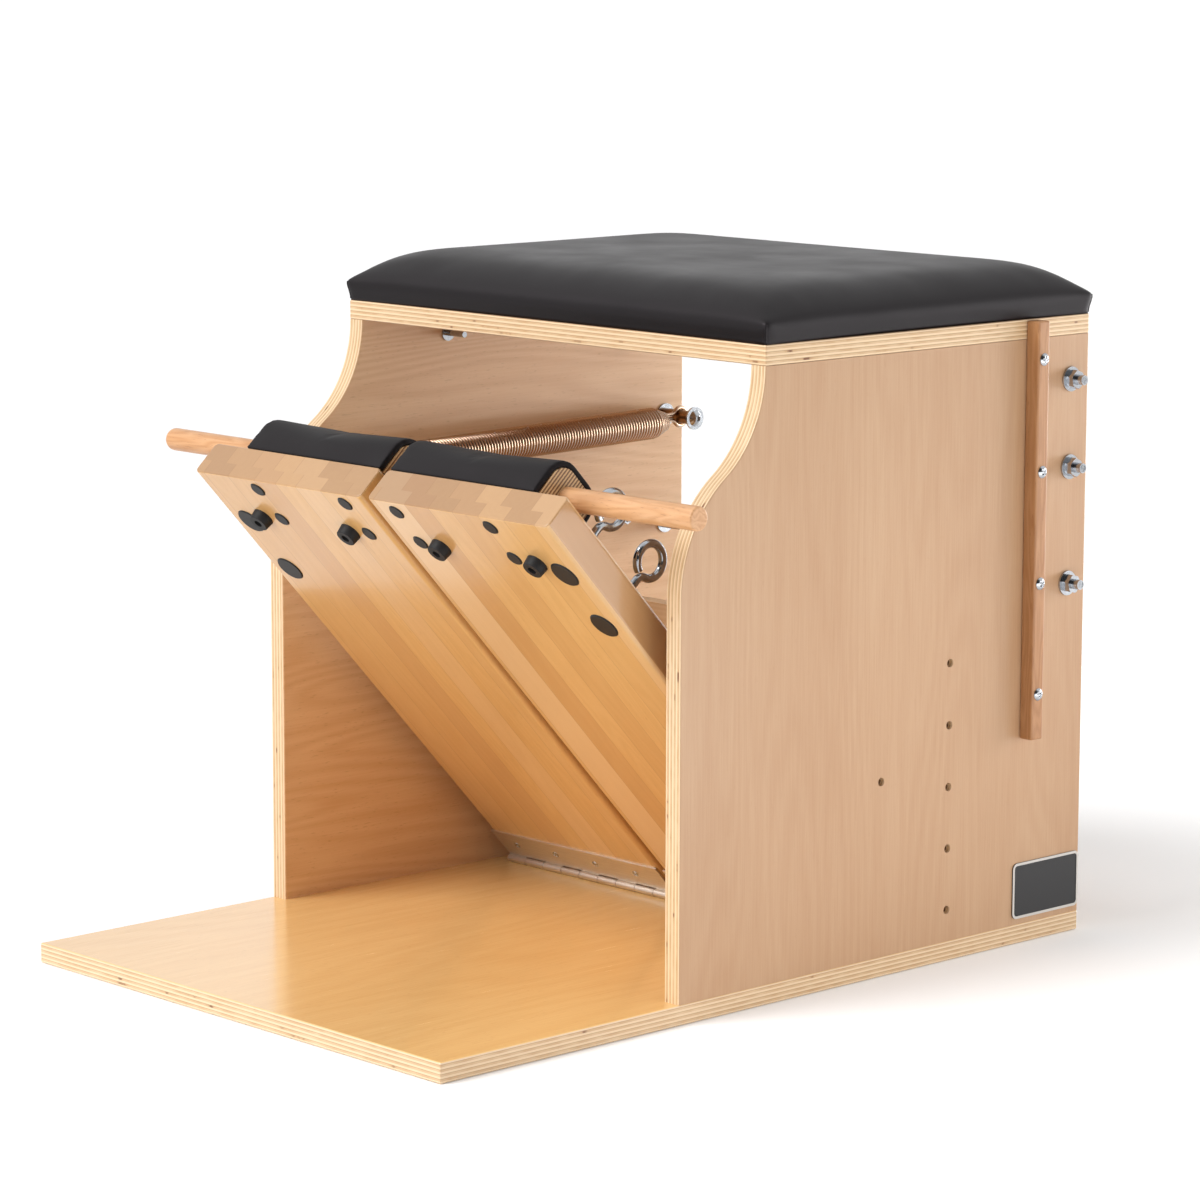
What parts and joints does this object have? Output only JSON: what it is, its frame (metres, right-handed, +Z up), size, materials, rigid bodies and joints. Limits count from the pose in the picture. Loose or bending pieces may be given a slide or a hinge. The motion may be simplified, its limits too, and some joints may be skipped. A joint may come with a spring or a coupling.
{
  "type": "pilates chair",
  "caption": "Plywood pilates chair: padded seat on curved side panels, with a split hinged pedal, a locking dowel and an extension spring that lifts the pedals.",
  "frame": {"origin": "centre of the base board's underside", "axes": "+Z up, -Y to the front where the pedals lean, +X to the right as seen from the front"},
  "size_m": [0.742, 0.8365, 0.658],
  "materials": {
    "plywood": "satin clear lacquer",
    "pedal_wood": "satin clear lacquer",
    "beech": "satin clear lacquer",
    "vinyl": "matte vinyl",
    "foam": "matte foam",
    "bronze": "satin",
    "rubber": "matte",
    "plastic": "matte",
    "hinge_steel": "satin",
    "zinc": "bright zinc",
    "plate": "satin black"
  },
  "bodies": {
    "frame": {"base_board": "plywood", "side_panel_left": "plywood", "side_panel_right": "plywood", "seat_board": "plywood", "pad_board": "plywood", "seat_pad": "vinyl", "cross_panel": "plywood", "stop_rail": "beech", "panel_screws": "zinc", "base_screws": "zinc", "seat_board_screws": "zinc", "pad_screws": "zinc", "batten_left": "beech", "batten_right": "beech", "batten_bolts": "zinc", "batten_nuts": "zinc", "post_bolts": "zinc", "post_sleeves": "bronze", "post_washers": "zinc", "post_nuts": "zinc", "storage_peg": "zinc", "blank_plate": "plate", "hinge_base_leaf_left": "hinge_steel", "hinge_base_leaf_right": "hinge_steel", "hinge_pin_left": "hinge_steel", "hinge_pin_right": "hinge_steel", "hinge_base_screws": "hinge_steel"},
    "pedal_left": {"pedal_left": "pedal_wood", "hinge_pedal_leaf_left": "hinge_steel", "hinge_pedal_screws_left": "hinge_steel", "bolster_core_left": "plywood", "bolster_pad_left": "foam", "bolster_screws_left": "zinc", "screw_plugs_left": "plastic", "bumpers_left": "rubber", "bumper_screws_left": "zinc", "eye_bolts_left": "zinc", "eye_nuts_left": "zinc", "nut_plugs_left": "plastic"},
    "pedal_right": {"pedal_right": "pedal_wood", "hinge_pedal_leaf_right": "hinge_steel", "hinge_pedal_screws_right": "hinge_steel", "bolster_core_right": "plywood", "bolster_pad_right": "foam", "bolster_screws_right": "zinc", "screw_plugs_right": "plastic", "bumpers_right": "rubber", "bumper_screws_right": "zinc", "eye_bolts_right": "zinc", "eye_nuts_right": "zinc", "nut_plugs_right": "plastic"},
    "locking_dowel": {"locking_dowel": "beech"},
    "spring_swivel": {"spring_loop": "bronze"},
    "spring": {"pedal_spring": "bronze"}
  },
  "joints": [
    {"name": "pedal_left_hinge", "type": "hinge", "parent": "frame", "child": "pedal_left", "pos_m": [-0.127, 0.149, 0.023], "axis": [1, 0, 0], "range_deg": [0, 46.5], "stiffness_Nm_per_rad": 45, "springref_deg": -51.57},
    {"name": "pedal_right_hinge", "type": "hinge", "parent": "frame", "child": "pedal_right", "pos_m": [0.127, 0.149, 0.023], "axis": [1, 0, 0], "range_deg": [0, 46.5]},
    {"name": "dowel_slide", "type": "slide", "parent": "pedal_right", "child": "locking_dowel", "axis": [1, 0, 0], "range_m": [0, 0.374]},
    {"name": "spring_swing", "type": "hinge", "parent": "frame", "child": "spring_swivel", "pos_m": [-0.248, 0.389, 0.4615], "axis": [1, 0, 0], "range_deg": [0, 25.02]},
    {"name": "spring_stretch", "type": "slide", "parent": "spring_swivel", "child": "spring", "axis": [0, -1, 0.0054], "range_m": [0, 0.3039], "deforming": ["pedal_spring"]}
  ],
  "couplings": [
    {"joint": "pedal_right_hinge", "follows": "pedal_left_hinge", "ratio": 1},
    {"joint": "spring_swing", "follows": "pedal_left_hinge", "ratio": 0.53777},
    {"joint": "spring_stretch", "follows": "pedal_left_hinge", "m_per_rad": 0.37418}
  ]
}
